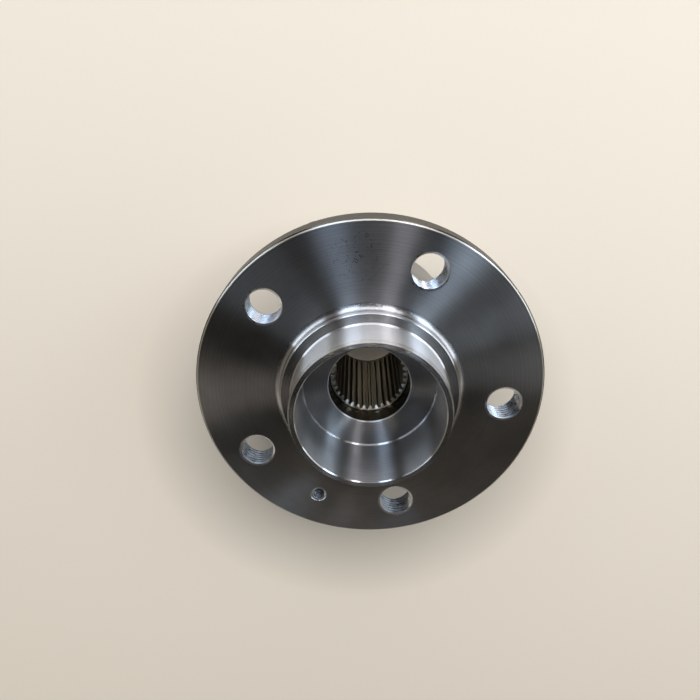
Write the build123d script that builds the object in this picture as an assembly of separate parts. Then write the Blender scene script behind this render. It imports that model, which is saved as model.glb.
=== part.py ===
from build123d import *
import os
from math import cos, hypot, pi, radians, sin

# Driven wheel hub unit: a flanged, splined hub that turns in a bolted outer ring on two rows of balls.
# Millimetres. The axis is Z, the wheel side is up, and the origin is the centre of the wheel face.
# Depths are measured down from the wheel face, heights up from it.

# Wheel flange
flange_radius = 64.0
flange_thickness = 10.0
flange_chamfer = 0.8
wheel_bolt_circle = 100.0
wheel_bolt_count = 5
wheel_bolt_radius = 7.0
locating_screw_radius = 3.0
locating_screw_countersink = 0.25
locating_screw_angle = 252.0

# Nose that centres the brake disc and the wheel
disc_pilot_step = 4.0
disc_pilot_height = 4.5
disc_pilot_edge = 0.3
disc_pilot_root = 2.4
wheel_pilot_radius = 28.5
wheel_pilot_bevel = 0.6
nose_height = 19.6
nose_lead_width = 0.6
nose_lead_length = 1.6
nose_wall = 1.9
cup_taper = 0.6
cup_depth = 4.0
nose_inner_edge = 0.35
cup_corner_bevel = 0.5

# Bore for the drive shaft
seat_depth = 5.2
seat_bore_step = 0.6
seat_edge = 0.3
spline_top_depth = 13.2
spline_end_depth = 56.5
spline_teeth = 36
spline_tooth_angle = 8.0
spline_root_radius = 14.9
spline_tooth_height = 1.5
spline_gap_at_tip = 1.64
spline_gap_at_root = 1.0
spline_runout = 1.0
spline_lead = 0.9
exit_bore_step = 0.4
exit_flare_width = 2.3
exit_flare_length = 2.4

# Back of the flange and the spindle
boss_radius = 41.0
boss_step = 1.0
land_root_bevel = 2.5
spindle_wall = 3.7
head_height = 3.2
head_width = 4.2
head_bevel = 1.6

# Balls and raceways, back to back
ball_radius = 5.55625
ball_count = 13
ball_circle_radius = 28.5
ball_sides = 12
contact_angle = 35.0
outboard_row_depth = 27.0
row_spacing = 20.0
race_conformity = 0.52
race_clearance = 0.06
inner_high_shoulder = 3.2
inner_low_shoulder = 0.65
outer_high_shoulder = 2.5
outer_low_shoulder = 0.456

# Inner ring
inner_ring_joint_shift = 0.2
inner_ring_reach = 14.0
inner_ring_seat_chamfer = 2.0
inner_ring_edge = 1.0

# Outer ring
outer_ring_edge = 0.8
body_wall = 4.0
waist_wall = 5.2
body_land = 3.0
knuckle_face_depth = 46.0
ear_thickness = 12.0
ear_radius = 10.0
ear_base_radius = 19.0
ear_base_offset = 22.0
ear_root = 8.0
ear_edge = 1.5
ear_angle = 30.0
knuckle_bolt_circle = 96.0
knuckle_bolt_count = 4
knuckle_bolt_radius = 6.0
spigot_wall = 3.2
spigot_lead = 1.5
spigot_undercut_depth = 0.4
spigot_undercut_width = 2.0

# Cages
cage_thickness = 3.8
cage_back_reach = 7.3
cage_prong_reach = 2.0
pocket_clearance = 0.14

# Seals
seal_seat_step = 1.2
outboard_seal_gap = 0.3
inboard_seal_gap = 2.5
outboard_seal_depth = 4.4
inboard_seal_depth = 8.0
case_sheet = 0.8
case_recess = 0.4
case_leg_inset = 4.1
rubber_thickness = 0.9
rubber_edge_inset = 1.6
lip_root_inset = 2.9
lip_gap = 0.1
axial_lip_gap = 0.3
axial_lip_inset = 4.9
axial_lip_thickness = 1.0
axial_lip_spread = 2.4
axial_lip_tip = 0.6
slinger_overlap = 5.4
slinger_leg_drop = 0.2
slinger_clearance = 1.5
encoder_inset = 2.3
encoder_thickness = 1.1

# Sizes that follow from the ones above
disc_pilot_radius = wheel_pilot_radius + disc_pilot_step
cup_mouth_radius = wheel_pilot_radius - nose_lead_width - nose_wall
cup_floor_radius = cup_mouth_radius - cup_taper
seat_bore_radius = spline_root_radius + seat_bore_step
spline_tip_radius = spline_root_radius - spline_tooth_height
exit_bore_radius = spline_root_radius + exit_bore_step
spindle_radius = exit_bore_radius + spindle_wall
row_depths = {"outboard": outboard_row_depth, "inboard": outboard_row_depth + row_spacing}
facing = {"outboard": 1, "inboard": -1}
seal_land_radius = ball_circle_radius - inner_high_shoulder
middle_radius = ball_circle_radius - ball_radius + inner_low_shoulder
outer_land_radius = ball_circle_radius + outer_high_shoulder
throat_radius = ball_circle_radius + ball_radius - outer_low_shoulder
seal_seat_radius = throat_radius + seal_seat_step
body_radius = seal_seat_radius + body_wall
waist_radius = seal_seat_radius + waist_wall
spigot_radius = seal_seat_radius + spigot_wall
case_leg_radius = seal_land_radius + case_leg_inset
rubber_edge_radius = seal_seat_radius - rubber_edge_inset
lip_root_radius = seal_land_radius + lip_root_inset
axial_lip_root = seal_land_radius + axial_lip_inset
slinger_radius = seal_seat_radius - slinger_clearance
encoder_inner_radius = seal_land_radius + encoder_inset
head_radius = spindle_radius + head_width
inner_ring_depth = outboard_row_depth + row_spacing / 2 + inner_ring_joint_shift
inner_ring_end = row_depths["inboard"] + inner_ring_reach
outboard_shoulder = row_depths["outboard"] - cage_back_reach - outboard_seal_gap
inboard_shoulder = row_depths["inboard"] + cage_back_reach + inboard_seal_gap
outer_ring_depth = outboard_shoulder - outboard_seal_depth
outer_ring_end = inboard_shoulder + inboard_seal_depth
boss_depth = flange_thickness + boss_step
hub_end = inner_ring_end + head_height
race_radius = 2 * ball_radius * race_conformity
race_shift = race_radius - ball_radius - race_clearance
slinger_leg = inner_ring_end + slinger_leg_drop


def section(*corners):
    # A closed half section from (radius, height) corners
    return make_face(Polyline(*[(radius, 0, height) for radius, height in corners], close=True))


def nearest_corner(profile, corner):
    # The corner of a half section that lies nearest to (radius, height)
    spot = Vector(corner[0], 0, corner[1])
    return min(profile.vertices(), key=lambda vertex: (Vector(*vertex) - spot).length)


def round_corner(profile, corner, radius):
    return fillet(nearest_corner(profile, corner), radius)


def bevel_corner(profile, corner, length):
    return chamfer(nearest_corner(profile, corner), length)


def turned(profile):
    return revolve(profile, axis=Axis.Z)


def raceway(row, ring):
    # The groove's ring-shaped cutter: ring is 1 for the outer race and -1 for the inner one
    angle = radians(contact_angle)
    groove_circle = ball_circle_radius - ring * race_shift * cos(angle)
    height = facing[row] * ring * race_shift * sin(angle) - row_depths[row]
    return Pos(0, 0, height) * Torus(groove_circle, race_radius)


def spline_gaps():
    # The spaces between the teeth, run out into the wider bores at both ends
    slope = (spline_gap_at_tip - spline_gap_at_root) / (spline_root_radius - spline_tip_radius)
    inner_radius = spline_tip_radius - spline_runout
    inner_half = (spline_gap_at_tip + slope * spline_runout) / 2
    root_half = spline_gap_at_root / 2
    gap = make_face(
        Polyline(
            (inner_radius, -inner_half),
            (spline_root_radius, -root_half),
            (spline_root_radius, root_half),
            (inner_radius, inner_half),
            close=True,
        )
    )
    pitch = 360 / spline_teeth
    length = spline_end_depth - spline_top_depth + 2 * spline_runout
    bottom = -spline_end_depth - spline_runout
    prism = Pos(0, 0, bottom) * extrude(gap, length, dir=(0, 0, 1))
    first = spline_tooth_angle + pitch / 2
    return [Rot(0, 0, first + pitch * tooth) * prism for tooth in range(spline_teeth)]


def make_hub():
    step = disc_pilot_height
    profile = section(
        (spline_tip_radius, -spline_top_depth),
        (seat_bore_radius, -spline_top_depth),
        (seat_bore_radius, -seat_depth),
        (cup_floor_radius, -cup_depth),
        (cup_mouth_radius, nose_height),
        (wheel_pilot_radius - nose_lead_width, nose_height),
        (wheel_pilot_radius, nose_height - nose_lead_length),
        (wheel_pilot_radius, step),
        (disc_pilot_radius - disc_pilot_edge, step),
        (disc_pilot_radius, step - disc_pilot_edge),
        (disc_pilot_radius, 0),
        (flange_radius - flange_chamfer, 0),
        (flange_radius, -flange_chamfer),
        (flange_radius, flange_chamfer - flange_thickness),
        (flange_radius - flange_chamfer, -flange_thickness),
        (boss_radius, -flange_thickness),
        (boss_radius - boss_step, -boss_depth),
        (seal_land_radius, -boss_depth),
        (seal_land_radius, -outboard_row_depth),
        (middle_radius, -outboard_row_depth),
        (middle_radius, -inner_ring_depth),
        (spindle_radius, -inner_ring_depth),
        (spindle_radius, inner_ring_seat_chamfer - inner_ring_end),
        (spindle_radius + inner_ring_seat_chamfer, -inner_ring_end),
        (head_radius, -inner_ring_end),
        (head_radius, -hub_end),
        (exit_bore_radius + exit_flare_width, -hub_end),
        (exit_bore_radius, exit_flare_length - hub_end),
        (exit_bore_radius, -spline_end_depth),
        (spline_tip_radius, -spline_end_depth),
    )
    profile = bevel_corner(profile, (spline_tip_radius, -spline_top_depth), spline_lead)
    profile = bevel_corner(profile, (seat_bore_radius, -seat_depth), seat_edge)
    profile = bevel_corner(profile, (cup_floor_radius, -cup_depth), cup_corner_bevel)
    profile = bevel_corner(profile, (cup_mouth_radius, nose_height), nose_inner_edge)
    profile = bevel_corner(profile, (wheel_pilot_radius, step), wheel_pilot_bevel)
    profile = round_corner(profile, (disc_pilot_radius, 0), disc_pilot_root)
    profile = bevel_corner(profile, (seal_land_radius, -boss_depth), land_root_bevel)
    profile = bevel_corner(profile, (head_radius, -hub_end), head_bevel)
    hub = turned(profile) - raceway("outboard", -1)
    hub -= spline_gaps()
    middle = -flange_thickness / 2
    bolt_circle = PolarLocations(wheel_bolt_circle / 2, wheel_bolt_count)
    hub -= [place * Pos(0, 0, middle) * Cylinder(wheel_bolt_radius, flange_thickness) for place in bolt_circle]
    wide = locating_screw_radius + locating_screw_countersink
    screw_place = Rot(0, 0, locating_screw_angle) * Pos(wheel_bolt_circle / 2, 0, 0)
    hub -= screw_place * Pos(0, 0, middle) * Cylinder(locating_screw_radius, flange_thickness)
    countersink = Cone(locating_screw_radius, wide, locating_screw_countersink)
    hub -= screw_place * Pos(0, 0, -locating_screw_countersink / 2) * countersink
    return hub


def make_inner_ring():
    edge = inner_ring_edge
    profile = section(
        (spindle_radius, -inner_ring_depth),
        (middle_radius, -inner_ring_depth),
        (middle_radius, -row_depths["inboard"]),
        (seal_land_radius, -row_depths["inboard"]),
        (seal_land_radius, edge - inner_ring_end),
        (seal_land_radius - edge, -inner_ring_end),
        (spindle_radius + inner_ring_seat_chamfer, -inner_ring_end),
        (spindle_radius, inner_ring_seat_chamfer - inner_ring_end),
    )
    return turned(profile) - raceway("inboard", -1)


def make_ears():
    # The four-lobed plate that bolts to the knuckle
    lobe = Pos(knuckle_bolt_circle / 2, 0) * Circle(ear_radius)
    base = Pos(ear_base_offset, 0) * Circle(ear_base_radius)
    ear = make_hull(lobe.edges() + base.edges())
    outline = Circle(waist_radius)
    for ear_number in range(knuckle_bolt_count):
        outline += Rot(0, 0, ear_angle + 360 * ear_number / knuckle_bolt_count) * ear
    corners = [v for v in outline.vertices() if abs(hypot(v.X, v.Y) - waist_radius) < 0.01]
    outline = fillet(corners, ear_root)
    plate = extrude(outline, ear_thickness, dir=(0, 0, 1))
    rims = plate.faces().sort_by(Axis.Z)[-1].edges()
    lobes = [e for e in rims if hypot(e.center().X, e.center().Y) > waist_radius + ear_root / 2]
    return Pos(0, 0, -knuckle_face_depth) * chamfer(lobes, ear_edge)


def make_outer_ring():
    ear_top = knuckle_face_depth - ear_thickness
    undercut_radius = spigot_radius - spigot_undercut_depth
    profile = section(
        (seal_seat_radius, -outer_ring_depth),
        (body_radius - outer_ring_edge, -outer_ring_depth),
        (body_radius, -outer_ring_depth - outer_ring_edge),
        (body_radius, -outer_ring_depth - body_land),
        (waist_radius, -ear_top),
        (waist_radius, -knuckle_face_depth),
        (undercut_radius, -knuckle_face_depth),
        (undercut_radius, -knuckle_face_depth - spigot_undercut_width),
        (spigot_radius, -knuckle_face_depth - spigot_undercut_width - spigot_undercut_depth),
        (spigot_radius, spigot_lead - outer_ring_end),
        (spigot_radius - spigot_lead, -outer_ring_end),
        (seal_seat_radius, -outer_ring_end),
        (seal_seat_radius, -inboard_shoulder),
        (throat_radius, -inboard_shoulder),
        (throat_radius, -row_depths["inboard"]),
        (outer_land_radius, -row_depths["inboard"]),
        (outer_land_radius, -row_depths["outboard"]),
        (throat_radius, -row_depths["outboard"]),
        (throat_radius, -outboard_shoulder),
        (seal_seat_radius, -outboard_shoulder),
    )
    bore = Pos(0, 0, ear_thickness / 2 - knuckle_face_depth) * Cylinder(waist_radius - ear_edge, ear_thickness)
    ring = turned(profile) + (make_ears() - bore)
    ring -= raceway("outboard", 1)
    ring -= raceway("inboard", 1)
    middle = ear_thickness / 2 - knuckle_face_depth
    bolt_circle = PolarLocations(knuckle_bolt_circle / 2, knuckle_bolt_count, start_angle=ear_angle)
    holes = [place * Pos(0, 0, middle) * Cylinder(knuckle_bolt_radius, ear_thickness) for place in bolt_circle]
    return ring - holes


def make_ball():
    # A bearing ball drawn as flat facets that meet on its true sphere
    rings = ball_sides // 2
    points = [Vector(0, 0, ball_radius), Vector(0, 0, -ball_radius)]
    for ring in range(1, rings):
        tilt = pi * ring / rings
        for side in range(ball_sides):
            turn = 2 * pi * side / ball_sides
            points.append(ball_radius * Vector(sin(tilt) * cos(turn), sin(tilt) * sin(turn), cos(tilt)))
    return ConvexPolyhedron(points)


def ball_places(row):
    pitch = 360 / ball_count
    to_row = Pos(ball_circle_radius, 0, -row_depths[row])
    return [Rot(0, 0, pitch * number) * to_row for number in range(ball_count)]


def make_cage(row):
    # A snap cage: a back ring towards the seal, and prongs that close past the balls' middle
    out = facing[row]
    inner_radius = ball_circle_radius - cage_thickness / 2
    outer_radius = ball_circle_radius + cage_thickness / 2
    back = out * cage_back_reach - row_depths[row]
    front = -out * cage_prong_reach - row_depths[row]
    cage = turned(section((inner_radius, back), (outer_radius, back), (outer_radius, front), (inner_radius, front)))
    pocket = Rot(0, 90, 0) * Cylinder(ball_radius + pocket_clearance, 3 * cage_thickness)
    return cage - [place * pocket for place in ball_places(row)]


def make_seal_case(shoulder, out, mouth):
    # A pressed steel ring: its wall seats in the outer ring and its leg carries the rubber
    wall = seal_seat_radius - case_sheet
    leg = shoulder + out * case_sheet
    return turned(
        section(
            (seal_seat_radius, mouth),
            (seal_seat_radius, shoulder),
            (case_leg_radius, shoulder),
            (case_leg_radius, leg),
            (wall, leg),
            (wall, mouth),
        )
    )


def make_seal_lip(shoulder, out, face, land):
    # Rubber bonded to the leg, with a radial lip on the land and an axial lip against the face
    leg = shoulder + out * case_sheet
    top = leg + out * rubber_thickness
    tip = face - out * axial_lip_gap
    axial_tip_radius = axial_lip_root + axial_lip_spread
    return turned(
        section(
            (case_leg_radius, shoulder),
            (case_leg_radius, leg),
            (rubber_edge_radius, leg),
            (rubber_edge_radius, top),
            (axial_lip_root + axial_lip_thickness, top),
            (axial_tip_radius + axial_lip_tip, tip),
            (axial_tip_radius, tip),
            (axial_lip_root, top),
            (lip_root_radius, top),
            (land + lip_gap, leg),
            (land + lip_gap, shoulder),
            (lip_root_radius, shoulder),
        )
    )


def make_slinger():
    sleeve = seal_land_radius + case_sheet
    top = slinger_overlap - inner_ring_end
    return turned(
        section(
            (seal_land_radius, top),
            (sleeve, top),
            (sleeve, -slinger_leg),
            (slinger_radius, -slinger_leg),
            (slinger_radius, -slinger_leg - case_sheet),
            (seal_land_radius, -slinger_leg - case_sheet),
        )
    )


def make_encoder():
    top = -slinger_leg - case_sheet
    bottom = top - encoder_thickness
    return turned(
        section(
            (encoder_inner_radius, top),
            (slinger_radius, top),
            (slinger_radius, bottom),
            (encoder_inner_radius, bottom),
        )
    )


parts = {
    "hub": make_hub(),
    "inner_ring": make_inner_ring(),
    "outer_ring": make_outer_ring(),
    "cage_outboard": make_cage("outboard"),
    "cage_inboard": make_cage("inboard"),
    "outboard_seal_case": make_seal_case(-outboard_shoulder, 1, -outer_ring_depth - case_recess),
    "outboard_seal_lip": make_seal_lip(-outboard_shoulder, 1, -boss_depth, seal_land_radius),
    "inboard_seal_case": make_seal_case(-inboard_shoulder, -1, case_recess - outer_ring_end),
    "inboard_seal_lip": make_seal_lip(-inboard_shoulder, -1, -slinger_leg, seal_land_radius + case_sheet),
    "inboard_slinger": make_slinger(),
    "encoder_ring": make_encoder(),
}
ball = make_ball()
for row in row_depths:
    for number, place in enumerate(ball_places(row), start=1):
        parts[f"ball_{row}_{number:02d}"] = place * ball

os.makedirs("parts", exist_ok=True)
for name, part in parts.items():
    export_step(part, f"parts/{name}.step")
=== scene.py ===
from math import ceil, cos, pi, radians, sin

import bmesh
import bpy
from mathutils import Matrix, Vector


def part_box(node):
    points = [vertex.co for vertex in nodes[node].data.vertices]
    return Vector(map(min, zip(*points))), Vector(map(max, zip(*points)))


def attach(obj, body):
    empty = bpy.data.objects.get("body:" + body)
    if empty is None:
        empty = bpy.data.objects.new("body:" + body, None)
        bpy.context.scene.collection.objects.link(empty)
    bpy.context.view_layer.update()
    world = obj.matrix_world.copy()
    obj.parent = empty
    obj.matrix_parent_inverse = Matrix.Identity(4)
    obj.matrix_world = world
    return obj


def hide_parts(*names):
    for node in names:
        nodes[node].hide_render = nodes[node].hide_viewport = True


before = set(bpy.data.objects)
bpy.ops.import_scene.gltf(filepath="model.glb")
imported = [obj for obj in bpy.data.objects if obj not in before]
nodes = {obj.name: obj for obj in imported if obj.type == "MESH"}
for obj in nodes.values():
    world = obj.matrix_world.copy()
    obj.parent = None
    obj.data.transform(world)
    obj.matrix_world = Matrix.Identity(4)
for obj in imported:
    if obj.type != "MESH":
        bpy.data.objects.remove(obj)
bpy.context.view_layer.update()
mm = 0.001
print("frame loaded:", len(nodes), "nodes")


# Colours and shader nodes

def linearColour(hexText):
    values = [int(hexText[i:i + 2], 16) / 255 for i in (1, 3, 5)]
    return [v / 12.92 if v <= 0.04045 else ((v + 0.055) / 1.055) ** 2.4 for v in values] + [1.0]


def addNode(tree, kind, links=None, output=0, **settings):
    # links fills input sockets, by name or number, with another node's output, a value or a hex colour;
    # a Mix node blends numbers 2 and 3, or colours 6 and 7, by its socket 0
    node = tree.nodes.new("ShaderNode" + kind)
    for key, value in settings.items():
        setattr(node, key, value)
    for key, value in (links or {}).items():
        if isinstance(value, bpy.types.NodeSocket):
            tree.links.new(value, node.inputs[key])
        else:
            node.inputs[key].default_value = linearColour(value) if isinstance(value, str) else value
    return node.outputs[output] if node.outputs else node


def newMaterial(name):
    material = bpy.data.materials.new(name)
    material.use_nodes = True
    tree = material.node_tree
    tree.nodes.clear()
    return material, tree


def finishMaterial(tree, links):
    shader = addNode(tree, "BsdfPrincipled", links)
    addNode(tree, "OutputMaterial", {"Surface": shader})


def turnedCoordinates(tree):
    # place, distance from the axis, height, path along the profile, and direction round the axis
    place = addNode(tree, "TexCoord", output="Object")
    axes = addNode(tree, "SeparateXYZ", {0: place}).node.outputs
    flat = addNode(tree, "CombineXYZ", {0: axes[0], 1: axes[1]})
    radius = addNode(tree, "VectorMath", {0: flat}, "Value", operation="LENGTH")
    path = addNode(tree, "Math", {0: radius, 1: axes[2]}, operation="SUBTRACT")
    around = addNode(tree, "VectorMath", {0: (0, 0, 1), 1: place}, operation="CROSS_PRODUCT")
    tangent = addNode(tree, "VectorTransform", {0: around}, vector_type="VECTOR",
                      convert_from="OBJECT", convert_to="WORLD")
    return {"place": place, "radius": radius, "height": axes[2], "path": path, "tangent": tangent}


def inZones(tree, turned, zones):
    # 1 on the surfaces inside any of the zones, and 0 elsewhere
    found = 0.0
    for low, high, bottom, top in zones.values():
        across = addNode(tree, "Math", {0: turned["radius"], 1: (low + high) / 2 * mm,
                                        2: (high - low) / 2 * mm}, operation="COMPARE")
        upright = addNode(tree, "Math", {0: turned["height"], 1: (bottom + top) / 2 * mm,
                                         2: (top - bottom) / 2 * mm}, operation="COMPARE")
        inside = addNode(tree, "Math", {0: across, 1: upright}, operation="MULTIPLY")
        found = addNode(tree, "Math", {0: inside, 1: found}, operation="MAXIMUM")
    return found


quarterTurn = 0.25    # lays the reflections across the turning marks
spotDetail = 3.0      # finer spots within each spot of a noise

# Turned bearing steel, bare off the lathe: fine rings round the axis spread each light into a fan across them
turnedSteel = {
    "light": "#bcbcbc",
    "dark": "#969595",
    "outerWall": "#4a4742",      # the flange's outer wall, much darker than the turned face
    # the rim's edge break: near-white, a painted highlight line
    "outerEdgeHighlight": "#e4e0d6",
    # the shaft seat's rim: near-white, a painted highlight line
    "seatEdgeHighlight": "#e8e8e8",
    "bore": "#625d52",           # the broached spline, duller, in a brown-grey painted in for its shade and the floor light it reflects
    # the spline's tooth ends: near-white, a painted highlight
    "toothHighlight": "#dcdcd8",
    "seat": "#5a5346",           # the plain seat above it, dark brown painted in as the shade deep in the bore
    "nick": "#303034",
    "faceRoughness": 0.29,
    "edgeRoughness": 0.27,       # wherever no zone says otherwise
    "wallRoughness": 0.45,
    "cupRoughness": 0.32,
    "breakRoughness": 0.16,      # small edge breaks, polished, so they draw thin bright lines
    "seatEdgeHighlightRoughness": 0.4,    # deep in the cup, where few lights reach it
    "toothHighlightRoughness": 0.3,
    "boreRoughness": 0.65,
    "outerEdgeHighlightRoughness": 0.46,
    "anisotropy": 1.0,
    "ringWidth": 0.3 * mm,       # real marks are about 0.15 mm apart, too fine to show
    "ringDepth": 0.0012 * mm,
    "stainScale": 60.0,          # stains about 17 mm apart
    "stainDetail": 4.0,
    "darkBelow": 0.1,            # ring and stain noise, multiplied, run from dark here
    "lightAbove": 0.45,          # to light here
    "nickPlace": (-9.7 * mm, 50.1 * mm, 0),
    "nickSpread": 13 * mm,
    "nickScale": 800.0,          # nicks about 1.3 mm apart
    "nickTwist": 1.5,
    "nickFrom": 0.62,            # noise above this begins a nick
    "nickFull": 0.66,
}
# where each finish lies: lowest and highest radius, lowest and highest height, in millimetres
steelZones = {
    "face": {"flange": (34.9, 63.2, -0.06, 0.06)},
    "wall": {"discPilot": (32.4, 32.6, 2.5, 4.15), "wheelPilot": (28.4, 28.6, 5.2, 17.95)},
    "cup": {"wall": (25.3, 26.1, -3.45, 19.2), "floor": (15.9, 24.9, -5.3, -3.9)},
    "break": {"cupCorner": (24.8, 25.6, -4.1, -3.45), "noseLip": (25.9, 26.5, 19.2, 19.7)},
    # the shaft seat's rim, where the painted highlight line goes
    "seatEdgeHighlight": {"rim": (15.4, 15.9, -5.6, -5.1)},
    # the tooth ends, where the painted highlight goes
    "toothHighlight": {"ends": (0, 14.95, -14.2, -13.1)},
    # the spline, where the painted brown-grey shade goes
    "bore": {"spline": (0, 15.7, -70, -14.2)},
    # the shaft seat, where the painted dark shade goes
    "seat": {"shaftSeat": (14.95, 15.6, -13.3, -5.6)},
    "outerWall": {"flange": (63.58, 70, -12, -0.38)},
    # the rim's edge break, where the painted highlight line goes
    "outerEdgeHighlight": {"flange": (63.15, 63.62, -0.42, 0)},
}


def makeTurnedSteel(name, finish, zones):
    material, tree = newMaterial(name)
    turned = turnedCoordinates(tree)
    place = turned["place"]
    rings = addNode(tree, "TexNoise", {"W": turned["path"], "Scale": 1 / finish["ringWidth"]},
                    noise_dimensions="1D")
    stains = addNode(tree, "TexNoise", {"Vector": place, "Scale": finish["stainScale"],
                                        "Detail": finish["stainDetail"]})
    marks = addNode(tree, "Math", {0: rings, 1: stains}, operation="MULTIPLY")
    shade = addNode(tree, "MapRange", {"Value": marks, "From Min": finish["darkBelow"],
                                       "From Max": finish["lightAbove"]})
    surface = addNode(tree, "Mix", {0: shade, 6: finish["dark"], 7: finish["light"]}, 2, data_type="RGBA")
    roughness = finish["edgeRoughness"]
    # zones with a colour of their own paint it over the steel: highlights on the rim, the seat rim and the
    # tooth ends, shade in the spline and the shaft seat, and the darker outer wall
    for zone, places in zones.items():
        inside = inZones(tree, turned, places)
        if zone in finish:
            surface = addNode(tree, "Mix", {0: inside, 6: surface, 7: finish[zone]}, 2, data_type="RGBA")
        if f"{zone}Roughness" in finish:
            roughness = addNode(tree, "Mix", {0: inside, 2: roughness, 3: finish[f"{zone}Roughness"]})
    away = addNode(tree, "VectorMath", {0: place, 1: finish["nickPlace"]}, "Value", operation="DISTANCE")
    near = addNode(tree, "MapRange", {"Value": away, "From Max": finish["nickSpread"],
                                      "To Min": 1.0, "To Max": 0.0})
    speckle = addNode(tree, "TexNoise", {"Vector": place, "Scale": finish["nickScale"],
                                         "Distortion": finish["nickTwist"]})
    nicks = addNode(tree, "MapRange", {"Value": speckle, "From Min": finish["nickFrom"],
                                       "From Max": finish["nickFull"]})
    nicks = addNode(tree, "Math", {0: nicks, 1: near}, operation="MULTIPLY")
    surface = addNode(tree, "Mix", {0: nicks, 6: surface, 7: finish["nick"]}, 2, data_type="RGBA")
    bump = addNode(tree, "Bump", {"Height": rings, "Distance": finish["ringDepth"]})
    finishMaterial(tree, {"Base Color": surface, "Roughness": roughness, "Metallic": 1.0, "Normal": bump,
                          "Tangent": turned["tangent"], "Anisotropic": finish["anisotropy"],
                          "Anisotropic Rotation": quarterTurn})
    return material


# Plain finishes: two colours blended by a fine grain, how deep that grain is, and worn patches
finishes = {
    # nitrile rubber, moulded: near black, with a dull bloom that scatters light softly
    "rubber": {"name": "nitrile rubber", "light": "#242424", "dark": "#141414", "metallic": 0.0,
               "roughness": 0.62, "grain": 0.5 * mm, "depth": 0.008 * mm,
               "wear": 4 * mm, "wearRoughness": 0.5},
    # rubber filled with magnet powder: dark brown and closer to satin
    "encoder": {"name": "magnetic encoder rubber", "light": "#332b26", "dark": "#211c19", "metallic": 0.0,
                "roughness": 0.45, "grain": 0.3 * mm, "depth": 0.003 * mm,
                "wear": 6 * mm, "wearRoughness": 0.36},
    # moulded polyamide with glass fibre: natural cream, a little mottled where fibres reach the skin
    "cage": {"name": "glass-filled polyamide", "light": "#c9bea1", "dark": "#aa9d7c", "metallic": 0.0,
             "roughness": 0.48, "grain": 0.4 * mm, "depth": 0.01 * mm,
             "wear": 3 * mm, "wearRoughness": 0.38},
    # lapped bearing balls: mirror bright, with a thin smear of grease that dulls them in patches
    "ball": {"name": "lapped ball steel", "light": "#c6c6c8", "dark": "#b2b1ad", "metallic": 1.0,
             "roughness": 0.05, "grain": 4.0 * mm, "depth": 0.0,
             "wear": 5 * mm, "wearRoughness": 0.16},
    # the flat crests that the drill leaves: a dark colour painted in as the shade between the ridges, so thin
    # dark lines run between the bright flanks
    "threadCrestShade": {"name": "drilled steel painted dark", "light": "#5c5954", "dark": "#3c3a36", "metallic": 1.0,
                    "roughness": 0.38, "grain": 0.4 * mm, "depth": 0.006 * mm,
                    "wear": 2 * mm, "wearRoughness": 0.48},
    # the flanks that the tap cuts: near-white, a painted highlight, and they catch each lamp in a short
    # streak
    "threadFlankHighlight": {"name": "tapped steel painted bright", "light": "#eceef0", "dark": "#c4c6c8", "metallic": 1.0,
                    "roughness": 0.27, "grain": 0.4 * mm, "depth": 0.008 * mm,
                    "wear": 2 * mm, "wearRoughness": 0.38},
}
wearFrom = 0.4    # noise above this begins a worn patch
wearFull = 0.62


def makeFinish(finish):
    material, tree = newMaterial(finish["name"])
    place = addNode(tree, "TexCoord", output="Object")
    grain = addNode(tree, "TexNoise", {"Vector": place, "Scale": 1 / finish["grain"], "Detail": spotDetail})
    surface = addNode(tree, "Mix", {0: grain, 6: finish["dark"], 7: finish["light"]}, 2, data_type="RGBA")
    wear = addNode(tree, "TexNoise", {"Vector": place, "Scale": 1 / finish["wear"], "Detail": spotDetail})
    patches = addNode(tree, "MapRange", {"Value": wear, "From Min": wearFrom, "From Max": wearFull})
    roughness = addNode(tree, "Mix", {0: patches, 2: finish["roughness"], 3: finish["wearRoughness"]})
    bump = addNode(tree, "Bump", {"Height": grain, "Distance": finish["depth"]})
    finishMaterial(tree, {"Base Color": surface, "Roughness": roughness, "Metallic": finish["metallic"],
                          "Normal": bump})
    return material


# Steel rings and plates with marks round the axis
ringFinishes = {
    # hot-forged bearing steel, turned on its round faces: grey-brown scaly ear flanks beside bright cut rings
    "outerRing": {"name": "turned and forged steel", "light": "#b3b1ae", "dark": "#8b8985",
                  "roughness": 0.32, "ringWidth": 0.35 * mm, "ringDepth": 0.002 * mm,
                  "forged": "#5b554e", "scale": "#453f39", "forgedRoughness": 0.55,
                  "forgedGrain": 0.9 * mm, "forgedDetail": 5.0, "forgedDepth": 0.06 * mm,
                  "forgedFrom": 40.6 * mm,      # the skin starts outside the round body
                  "forgedFacing": 0.5,          # and lies on walls that face along the axis less than this
                  "scaleSize": 5 * mm, "scaleFrom": 0.35, "scaleFull": 0.7},
    # ground bearing steel: fine close rings, almost a mirror
    "innerRing": {"name": "ground bearing steel", "light": "#c2c1bf", "dark": "#aaa8a5",
                  "roughness": 0.2, "ringWidth": 0.12 * mm, "ringDepth": 0.0006 * mm},
    # stainless sheet drawn in a press: soft satin, with faint marks where the die slid
    "sheet": {"name": "pressed stainless steel", "light": "#bebcb8", "dark": "#a19f9b",
              "roughness": 0.3, "ringWidth": 0.5 * mm, "ringDepth": 0.001 * mm},
}
ringStain = 16 * mm      # size of the stains, blended with the rings into one shade
ringAnisotropy = 0.8


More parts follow.
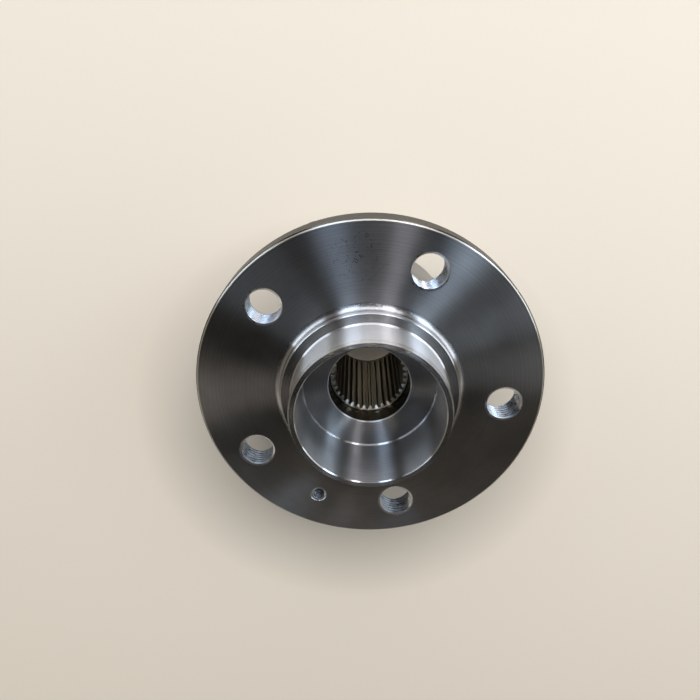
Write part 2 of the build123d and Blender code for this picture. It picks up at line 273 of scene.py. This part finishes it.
def addForgedSkin(tree, turned, finish, surface, roughness, bump):
    place = turned["place"]
    normal = addNode(tree, "TexCoord", output="Normal")
    facing = addNode(tree, "SeparateXYZ", {0: normal}, 2)
    upright = addNode(tree, "Math", {0: facing, 1: 0.0, 2: finish["forgedFacing"]}, operation="COMPARE")
    outside = addNode(tree, "Math", {0: turned["radius"], 1: finish["forgedFrom"]}, operation="GREATER_THAN")
    flank = addNode(tree, "Math", {0: upright, 1: outside}, operation="MULTIPLY")
    scale = addNode(tree, "TexNoise", {"Vector": place, "Scale": 1 / finish["scaleSize"],
                                       "Detail": spotDetail})
    patches = addNode(tree, "MapRange", {"Value": scale, "From Min": finish["scaleFrom"],
                                         "From Max": finish["scaleFull"]})
    skin = addNode(tree, "Mix", {0: patches, 6: finish["forged"], 7: finish["scale"]}, 2, data_type="RGBA")
    surface = addNode(tree, "Mix", {0: flank, 6: surface, 7: skin}, 2, data_type="RGBA")
    roughness = addNode(tree, "Mix", {0: flank, 2: roughness, 3: finish["forgedRoughness"]})
    grain = addNode(tree, "TexNoise", {"Vector": place, "Scale": 1 / finish["forgedGrain"],
                                       "Detail": finish["forgedDetail"]})
    pits = addNode(tree, "Math", {0: flank, 1: grain}, operation="MULTIPLY")
    bump = addNode(tree, "Bump", {"Height": pits, "Distance": finish["forgedDepth"], "Normal": bump})
    return surface, roughness, bump


def makeRingFinish(finish):
    material, tree = newMaterial(finish["name"])
    turned = turnedCoordinates(tree)
    rings = addNode(tree, "TexNoise", {"W": turned["path"], "Scale": 1 / finish["ringWidth"]},
                    noise_dimensions="1D")
    stains = addNode(tree, "TexNoise", {"Vector": turned["place"], "Scale": 1 / ringStain,
                                        "Detail": spotDetail})
    marks = addNode(tree, "Math", {0: rings, 1: stains}, operation="MULTIPLY")
    surface = addNode(tree, "Mix", {0: marks, 6: finish["dark"], 7: finish["light"]}, 2, data_type="RGBA")
    roughness = finish["roughness"]
    bump = addNode(tree, "Bump", {"Height": rings, "Distance": finish["ringDepth"]})
    if "forged" in finish:
        surface, roughness, bump = addForgedSkin(tree, turned, finish, surface, roughness, bump)
    finishMaterial(tree, {"Base Color": surface, "Roughness": roughness, "Metallic": 1.0, "Normal": bump,
                          "Tangent": turned["tangent"], "Anisotropic": ringAnisotropy,
                          "Anisotropic Rotation": quarterTurn})
    return material


hubMaterial = makeTurnedSteel("turned bearing steel", turnedSteel, steelZones)
materials = {key: makeFinish(finish) for key, finish in finishes.items()}
materials.update({key: makeRingFinish(finish) for key, finish in ringFinishes.items()})

# which finish each node takes, by the first of these words that its name holds
finishWords = {"outer_ring": "outerRing", "inner_ring": "innerRing", "lip": "rubber", "encoder": "encoder",
               "cage": "cage", "ball": "ball", "case": "sheet", "slinger": "sheet"}


def dress(node, material):
    data = nodes[node].data
    data.materials.clear()
    data.materials.append(material)


for node in nodes:
    if node == "hub":
        dress(node, hubMaterial)
    else:
        word = next(word for word in finishWords if word in node)
        dress(node, materials[finishWords[word]])
print("materials on")


def addObject(name, data):
    thing = bpy.data.objects.new(name, data)
    bpy.context.scene.collection.objects.link(thing)
    return thing


sharpAngle = 30    # degrees between two faces, from which their edge stays sharp


def finishPiece(name, shape, surfaces, body):
    for face in shape.faces:
        face.smooth = True
    for edge in shape.edges:
        edge.smooth = edge.is_manifold and edge.calc_face_angle() < radians(sharpAngle)
    mesh = bpy.data.meshes.new(name)
    shape.to_mesh(mesh)
    shape.free()
    for surface in surfaces:
        mesh.materials.append(surface)
    piece = addObject(name, mesh)
    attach(piece, body)
    return piece


# Threads: a ridge winds down each tapped hole; radii, angles and heights are the holes' own
threads = {
    "wheelBoltThread": {"body": "rotor", "slot": "turned_steel", "count": 5, "circle": 50 * mm, "angle": 0,
                        "major": 7.0 * mm, "pitch": 1.5 * mm, "top": 0, "bottom": -10 * mm},
    "locatingScrewThread": {"body": "rotor", "slot": "turned_steel", "count": 1, "circle": 50 * mm,
                            "angle": 252, "major": 3.0 * mm, "pitch": 1.0 * mm,
                            "top": -0.3 * mm, "bottom": -10 * mm},
    "knuckleBoltThread": {"body": "outer", "slot": "forged_steel", "count": 4, "circle": 48 * mm,
                          "angle": 30, "major": 6.0 * mm, "pitch": 1.5 * mm,
                          "top": -34 * mm, "bottom": -46 * mm},
}
# the metric form, as shares of the pitch
threadForm = {
    "depth": 0.5413,
    "crestFlat": 0.25,      # left by the drill
    "rootFlat": 0.125,
    "sink": 0.03 * mm,      # how far the ridge's foot sinks into the wall
    "steps": 40,            # in one turn
}


def makeThread(name, plan, number):
    shape = bmesh.new()
    pitch = plan["pitch"]
    steps = threadForm["steps"]
    sink = threadForm["sink"]
    turns = ceil((plan["top"] - plan["bottom"]) / pitch) + 2    # one too many at each end, cut off below
    start = plan["bottom"] - pitch
    foot = pitch * (1 - threadForm["rootFlat"]) / 2
    crest = pitch * threadForm["crestFlat"] / 2
    wall = plan["major"] + sink
    minor = plan["major"] - pitch * threadForm["depth"]
    corners = ((wall, -foot), (wall, foot), (minor, crest), (minor, -crest))
    profile = shape.faces.new([shape.verts.new((radius, 0, start + height)) for radius, height in corners])
    bmesh.ops.spin(shape, geom=[profile] + profile.edges[:] + profile.verts[:], cent=(0, 0, 0),
                   axis=(0, 0, 1), dvec=(0, 0, pitch / steps), angle=2 * pi * turns, steps=steps * turns)
    bmesh.ops.recalc_face_normals(shape, faces=shape.faces)
    for height, side in ((plan["top"], 1), (plan["bottom"], -1)):
        everything = shape.verts[:] + shape.edges[:] + shape.faces[:]
        cut = bmesh.ops.bisect_plane(shape, geom=everything, plane_co=(0, 0, height),
                                     plane_no=(0, 0, side), clear_outer=True)["geom_cut"]
        bmesh.ops.holes_fill(shape, edges=[edge for edge in cut if isinstance(edge, bmesh.types.BMEdge)])
    # crest faces take the painted dark shade, flank faces the painted bright highlight
    for face in shape.faces:
        onFlank = max(vert.co.xy.length for vert in face.verts) > minor + sink
        face.material_index = 1 if onFlank else 0
    turn = radians(plan["angle"]) + 2 * pi * number / plan["count"]
    centre = (plan["circle"] * cos(turn), plan["circle"] * sin(turn), 0)
    bmesh.ops.translate(shape, verts=shape.verts, vec=centre)
    surfaces = [materials["threadCrestShade"], materials["threadFlankHighlight"]]
    finishPiece(f"{name}_{number + 1}", shape, surfaces, plan["body"])


for threadName, threadPlan in threads.items():
    for threadNumber in range(threadPlan["count"]):
        makeThread(threadName, threadPlan, threadNumber)
print("threads cut")

# Balls: true spheres in the place of the faceted ones
balls = {"sides": 36, "rings": 18}


def makeBall(node):
    low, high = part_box(node)
    shape = bmesh.new()
    bmesh.ops.create_uvsphere(shape, u_segments=balls["sides"], v_segments=balls["rings"],
                              radius=(high.z - low.z) / 2)
    bmesh.ops.translate(shape, verts=shape.verts, vec=(low + high) / 2)
    piece = finishPiece(f"smooth_{node}", shape, [materials["ball"]], f"{node}_body")
    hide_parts(node)


for node in nodes:
    if node.startswith("ball_"):
        makeBall(node)
print("balls polished")

# Floor: a pale disc, whose rim stands up as a backdrop all round
floorPlan = {
    "height": -64.8 * mm,
    "radius": 6.0,
    "backdrop": 3.5,
    "sides": 96,
    "colour": "#b9ad9c",
    "roughness": 0.9,
    "glow": 0.62,
    "paintedShadowGlow": 0.1,
    "glowColour": "#e2d7c6",
    "paintedShadowPlace": (0, -55 * mm, -64.8 * mm),   # the glow fades out round here under the part, a painted shadow on the floor
    "paintedShadowRadius": 45 * mm,
    "paintedShadowEdge": 110 * mm,
}


def makeFloorMaterial(plan):
    material, tree = newMaterial("pale floor")
    # to the camera and in reflections it is brighter than the lamps make it
    rays = addNode(tree, "LightPath").node.outputs
    seen = addNode(tree, "Math", {0: rays["Is Camera Ray"], 1: rays["Is Glossy Ray"]}, operation="MAXIMUM")
    seen = addNode(tree, "Math", {0: seen, 1: rays["Is Transmission Ray"]}, operation="MAXIMUM")
    place = addNode(tree, "TexCoord", output="Object")
    # a painted shadow: the glow is turned down round a place under the part
    away = addNode(tree, "VectorMath", {0: place, 1: plan["paintedShadowPlace"]}, "Value", operation="DISTANCE")
    strength = addNode(tree, "MapRange", {"Value": away, "From Min": plan["paintedShadowRadius"],
                                          "From Max": plan["paintedShadowEdge"], "To Min": plan["paintedShadowGlow"],
                                          "To Max": plan["glow"]})
    glow = addNode(tree, "Math", {0: seen, 1: strength}, operation="MULTIPLY")
    finishMaterial(tree, {"Base Color": plan["colour"], "Roughness": plan["roughness"],
                          "Emission Color": plan["glowColour"], "Emission Strength": glow})
    return material


def makeFloor(plan):
    mesh = bpy.data.meshes.new("floor")
    shape = bmesh.new()
    bmesh.ops.create_circle(shape, cap_ends=True, segments=plan["sides"], radius=plan["radius"])
    rim = bmesh.ops.extrude_edge_only(shape, edges=shape.edges[:])["geom"]
    raised = [vert for vert in rim if isinstance(vert, bmesh.types.BMVert)]
    bmesh.ops.translate(shape, verts=raised, vec=(0, 0, plan["backdrop"]))
    bmesh.ops.translate(shape, verts=shape.verts, vec=(0, 0, plan["height"]))
    shape.to_mesh(mesh)
    shape.free()
    mesh.materials.append(makeFloorMaterial(plan))
    addObject("floor", mesh)


makeFloor(floorPlan)
print("floor laid")

# Soft boxes: azimuth and lift in degrees seen from the part, distance, width and height in metres, watts
softBoxes = {
    "rightWindow": {"azimuth": 28, "lift": 10, "distance": 0.7, "width": 0.6, "height": 0.22,
                    "power": 2.4, "colour": "#eaf3ff"},
    "topWindow": {"azimuth": 94, "lift": 10, "distance": 0.7, "width": 0.74, "height": 0.22,
                  "power": 2.8, "colour": "#f2f6ff"},
    "leftWindow": {"azimuth": 155, "lift": 10, "distance": 0.7, "width": 0.43, "height": 0.22,
                   "power": 1.7, "colour": "#e4f0ff"},
    "rightShelf": {"azimuth": 27, "lift": 31, "distance": 0.6, "width": 0.52, "height": 0.1,
                   "power": 0.33, "colour": "#eaf3ff"},
    "topShelf": {"azimuth": 94, "lift": 31, "distance": 0.6, "width": 0.62, "height": 0.1,
                 "power": 0.39, "colour": "#f2f6ff"},
    "leftShelf": {"azimuth": 156, "lift": 31, "distance": 0.6, "width": 0.38, "height": 0.1,
                  "power": 0.24, "colour": "#e4f0ff"},
    "rightStrip": {"azimuth": 41, "lift": 38, "distance": 0.6, "width": 0.12, "height": 0.4,
                   "power": 1.0, "colour": "#cfe4fb"},
    "pinkStrip": {"azimuth": 76, "lift": 38, "distance": 0.6, "width": 0.08, "height": 0.4,
                  "power": 0.66, "colour": "#e9e9f2"},
    "coolStrip": {"azimuth": 114, "lift": 38, "distance": 0.6, "width": 0.12, "height": 0.4,
                  "power": 0.75, "colour": "#c8e0ff"},
    "rightSliver": {"azimuth": 5, "lift": 34, "distance": 0.6, "width": 0.05, "height": 0.4,
                    "power": 0.09, "colour": "#d4e6f4"},
    "sideStrip": {"azimuth": 342, "lift": 34, "distance": 0.6, "width": 0.08, "height": 0.4,
                  "power": 0.11, "colour": "#f4f6f8"},
    "warmStrip": {"azimuth": 220, "lift": 34, "distance": 0.6, "width": 0.1, "height": 0.4,
                  "power": 0.12, "colour": "#fff4ea"},
    "warmFillRight": {"azimuth": 302, "lift": 46, "distance": 0.8, "width": 0.26, "height": 0.22,
                      "power": 0.019, "colour": "#ffeedd"},
    "warmFill": {"azimuth": 272, "lift": 47, "distance": 0.8, "width": 0.33, "height": 0.22,
                 "power": 0.045, "colour": "#ffeedd"},
}


def hangLamp(name, lamp, azimuth, lift, distance, aim=(0, 0, 0)):
    turn = radians(azimuth)
    rise = radians(lift)
    towards = Vector((cos(turn) * cos(rise), sin(turn) * cos(rise), sin(rise)))
    holder = addObject(name, lamp)
    holder.location = Vector(aim) + towards * distance
    holder.rotation_euler = towards.to_track_quat("Z", "Y").to_euler()


def makeSoftBox(name, plan):
    lamp = bpy.data.lights.new(name, "AREA")
    lamp.shape = "RECTANGLE"
    lamp.size = plan["width"]
    lamp.size_y = plan["height"]
    lamp.energy = plan["power"]
    lamp.color = linearColour(plan["colour"])[:3]
    hangLamp(name, lamp, plan["azimuth"], plan["lift"], plan["distance"])


for lampName, lampPlan in softBoxes.items():
    makeSoftBox(lampName, lampPlan)

# Narrow lamps that reach down the bore: azimuths, lift and beam in degrees
boreLamps = {
    "azimuths": (36, 66, 94, 122, 152),
    "lift": 63,
    "distance": 0.5,
    "aim": (0, 0, -12 * mm),
    "beam": 3.6,
    "blend": 0.4,
    "power": 1.6,
    "size": 12 * mm,
    "colour": "#fff5e6",
}


def makeBoreLamp(plan, azimuth):
    name = f"boreLamp{azimuth}"
    lamp = bpy.data.lights.new(name, "SPOT")
    lamp.energy = plan["power"]
    lamp.color = linearColour(plan["colour"])[:3]
    lamp.spot_size = radians(plan["beam"])
    lamp.spot_blend = plan["blend"]
    lamp.shadow_soft_size = plan["size"]
    hangLamp(name, lamp, azimuth, plan["lift"], plan["distance"], plan["aim"])


for boreAzimuth in boreLamps["azimuths"]:
    makeBoreLamp(boreLamps, boreAzimuth)

# World: an even grey, far weaker than the lamps
studio = {"colour": "#c8c8ca", "strength": 0.02}


def makeWorld(plan):
    world = bpy.data.worlds.new("studio")
    bpy.context.scene.world = world
    world.use_nodes = True
    background = world.node_tree.nodes["Background"]
    background.inputs[0].default_value = linearColour(plan["colour"])
    background.inputs[1].default_value = plan["strength"]


makeWorld(studio)
print("lamps hung")

# Camera: place in metres, directions of its view and of the picture's top, lens and sensor in millimetres
cameraPlan = {
    "place": (-14.73 * mm, 103.59 * mm, 201.56 * mm),
    "look": (0.0271, -0.3980, -0.9170),
    "imageUp": (-0.0896, 0.9127, -0.3988),
    "lens": 31.6,
    "sensor": 36.0,
    "nearest": 10 * mm,
}


def makeCamera(plan):
    data = bpy.data.cameras.new("camera")
    data.sensor_width = plan["sensor"]
    data.lens = plan["lens"]
    data.clip_start = plan["nearest"]
    back = -Vector(plan["look"]).normalized()
    right = Vector(plan["imageUp"]).cross(back).normalized()
    up = back.cross(right)
    turn = Matrix((right, up, back)).transposed().to_4x4()
    camera = addObject("camera", data)
    camera.matrix_world = Matrix.Translation(plan["place"]) @ turn
    bpy.context.scene.camera = camera


makeCamera(cameraPlan)
bpy.context.scene.view_settings.view_transform = "Standard"
print("camera set")
